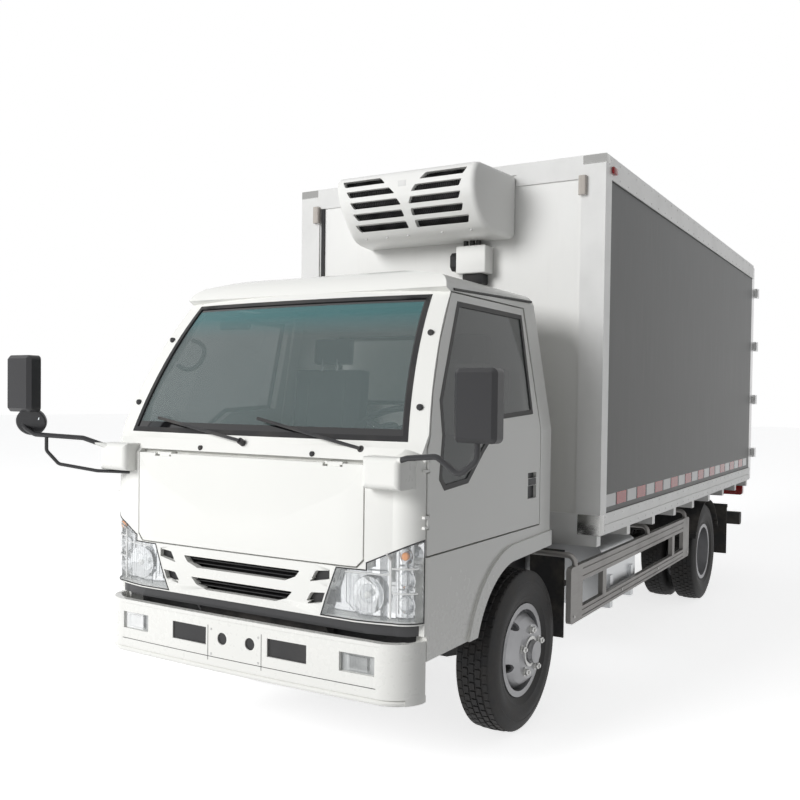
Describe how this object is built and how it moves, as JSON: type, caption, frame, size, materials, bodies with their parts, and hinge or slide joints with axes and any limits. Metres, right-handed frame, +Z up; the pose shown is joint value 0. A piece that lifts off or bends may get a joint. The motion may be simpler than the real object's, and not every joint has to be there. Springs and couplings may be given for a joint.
{
  "type": "refrigerated truck",
  "caption": "Cab-over refrigerated box truck with a tilting cab, twin rear wheels, insulated box with rear doors and a front-mounted cooling unit.",
  "frame": {"origin": "on the ground, below the middle of the whole truck with its mirrors", "axes": "+Z up, the truck faces -Y, +X is the driver's side"},
  "size_m": [2.49, 6.2, 2.9],
  "materials": {
    "white_paint": "gloss",
    "box_skin": "gloss",
    "chassis_paint": "semi-matt",
    "engine_metal": "rough",
    "axle_metal": "painted",
    "spring_steel": "dark",
    "tank_metal": "satin",
    "muffler_metal": "heat-stained",
    "guard_metal": "satin",
    "rail_metal": "satin",
    "frame_steel": "satin",
    "tyre_rubber": "worn",
    "wheel_paint": "satin",
    "black_plastic": "grained",
    "flap_rubber": "matt",
    "lamp_lens": "clear",
    "red_lens": "gloss",
    "amber_lens": "gloss",
    "window_glass": "clear",
    "seat_cloth": "woven",
    "cab_trim": "grained",
    "unit_plastic": "satin",
    "coil_metal": "finned"
  },
  "bodies": {
    "chassis": {"frame": "chassis_paint", "engine": "engine_metal", "driveline": "engine_metal", "front_axle": "axle_metal", "rear_axle": "axle_metal", "leaf_springs": "spring_steel", "fuel_tank": "tank_metal", "battery_box": "black_plastic", "exhaust": "muffler_metal", "side_guards": "guard_metal", "underrun_bar": "chassis_paint", "mudguards": "flap_rubber", "tail_lamps": "red_lens", "fog_lamps": "lamp_lens", "spare_tyre": "tyre_rubber", "spare_rim": "wheel_paint", "front_bumper": "white_paint", "box_floor": "box_skin", "box_walls": "box_skin", "box_front_wall": "box_skin", "box_roof": "box_skin", "box_rear_frame": "frame_steel", "box_rails": "rail_metal", "marker_lamps": "amber_lens", "unit_housing": "unit_plastic", "unit_coil": "coil_metal", "unit_duct": "unit_plastic", "evaporator": "unit_plastic"},
    "cab": {"cab_floor": "chassis_paint", "cab_front": "white_paint", "cab_sides": "white_paint", "cab_rear_wall": "white_paint", "cab_roof": "white_paint", "cab_glass": "window_glass", "grille": "white_paint", "headlamps": "lamp_lens", "wipers": "black_plastic", "mirrors": "black_plastic", "seats": "seat_cloth", "dashboard": "cab_trim", "steering_wheel": "cab_trim"},
    "cab_door_left": {"door_left": "white_paint", "door_glass_left": "window_glass"},
    "cab_door_right": {"door_right": "white_paint", "door_glass_right": "window_glass"},
    "lid": {"front_lid": "white_paint"},
    "cargo_door_left": {"rear_door_left": "box_skin"},
    "cargo_door_right": {"rear_door_right": "box_skin"},
    "steer_left": {"knuckle_left": "axle_metal"},
    "steer_right": {"knuckle_right": "axle_metal"},
    "steering_link": {"tie_rod": "axle_metal"},
    "wheel_front_left": {"tyre_front_left": "tyre_rubber", "rim_front_left": "wheel_paint"},
    "wheel_front_right": {"tyre_front_right": "tyre_rubber", "rim_front_right": "wheel_paint"},
    "wheels_rear_left": {"tyres_rear_left": "tyre_rubber", "rims_rear_left": "wheel_paint"},
    "wheels_rear_right": {"tyres_rear_right": "tyre_rubber", "rims_rear_right": "wheel_paint"}
  },
  "joints": [
    {"name": "cab_tilt", "type": "hinge", "parent": "chassis", "child": "cab", "pos_m": [0, -2.782, 0.708], "axis": [1, 0, 0], "range_deg": [0, 45]},
    {"name": "cab_door_left_swing", "type": "hinge", "parent": "cab", "child": "cab_door_left", "pos_m": [0.845, -2.753, 1.5], "axis": [0, 0, -1], "range_deg": [0, 70]},
    {"name": "cab_door_right_swing", "type": "hinge", "parent": "cab", "child": "cab_door_right", "pos_m": [-0.845, -2.753, 1.5], "axis": [0, 0, 1], "range_deg": [0, 70]},
    {"name": "lid_lift", "type": "hinge", "parent": "cab", "child": "lid", "pos_m": [0, -2.848, 1.334], "axis": [-1, 0, 0], "range_deg": [0, 60]},
    {"name": "cargo_door_left_swing", "type": "hinge", "parent": "chassis", "child": "cargo_door_left", "pos_m": [1.03, 3.088, 1.9], "axis": [0, 0, -1], "range_deg": [0, 270]},
    {"name": "cargo_door_right_swing", "type": "hinge", "parent": "chassis", "child": "cargo_door_right", "pos_m": [-1.03, 3.088, 1.9], "axis": [0, 0, 1], "range_deg": [0, 270]},
    {"name": "steer_left_turn", "type": "hinge", "parent": "chassis", "child": "steer_left", "pos_m": [0.6, -1.81, 0.3875], "axis": [0, 0, 1], "range_deg": [-35, 35]},
    {"name": "steer_right_turn", "type": "hinge", "parent": "chassis", "child": "steer_right", "pos_m": [-0.6, -1.81, 0.3875], "axis": [0, 0, 1], "range_deg": [-35, 35]},
    {"name": "steering_link_turn", "type": "hinge", "parent": "steer_left", "child": "steering_link", "pos_m": [0.6, -1.6, 0.2969], "axis": [0, 0, 1], "range_deg": [-35, 35]},
    {"name": "wheel_front_left_spin", "type": "hinge", "parent": "steer_left", "child": "wheel_front_left", "pos_m": [0.752, -1.81, 0.3875], "axis": [1, 0, 0], "continuous": true},
    {"name": "wheel_front_right_spin", "type": "hinge", "parent": "steer_right", "child": "wheel_front_right", "pos_m": [-0.752, -1.81, 0.3875], "axis": [1, 0, 0], "continuous": true},
    {"name": "wheels_rear_left_spin", "type": "hinge", "parent": "chassis", "child": "wheels_rear_left", "pos_m": [0.712, 1.55, 0.3875], "axis": [1, 0, 0], "continuous": true},
    {"name": "wheels_rear_right_spin", "type": "hinge", "parent": "chassis", "child": "wheels_rear_right", "pos_m": [-0.712, 1.55, 0.3875], "axis": [1, 0, 0], "continuous": true}
  ],
  "couplings": [
    {"joint": "steer_right_turn", "follows": "steer_left_turn", "ratio": 1},
    {"joint": "steering_link_turn", "follows": "steer_left_turn", "ratio": -1}
  ]
}
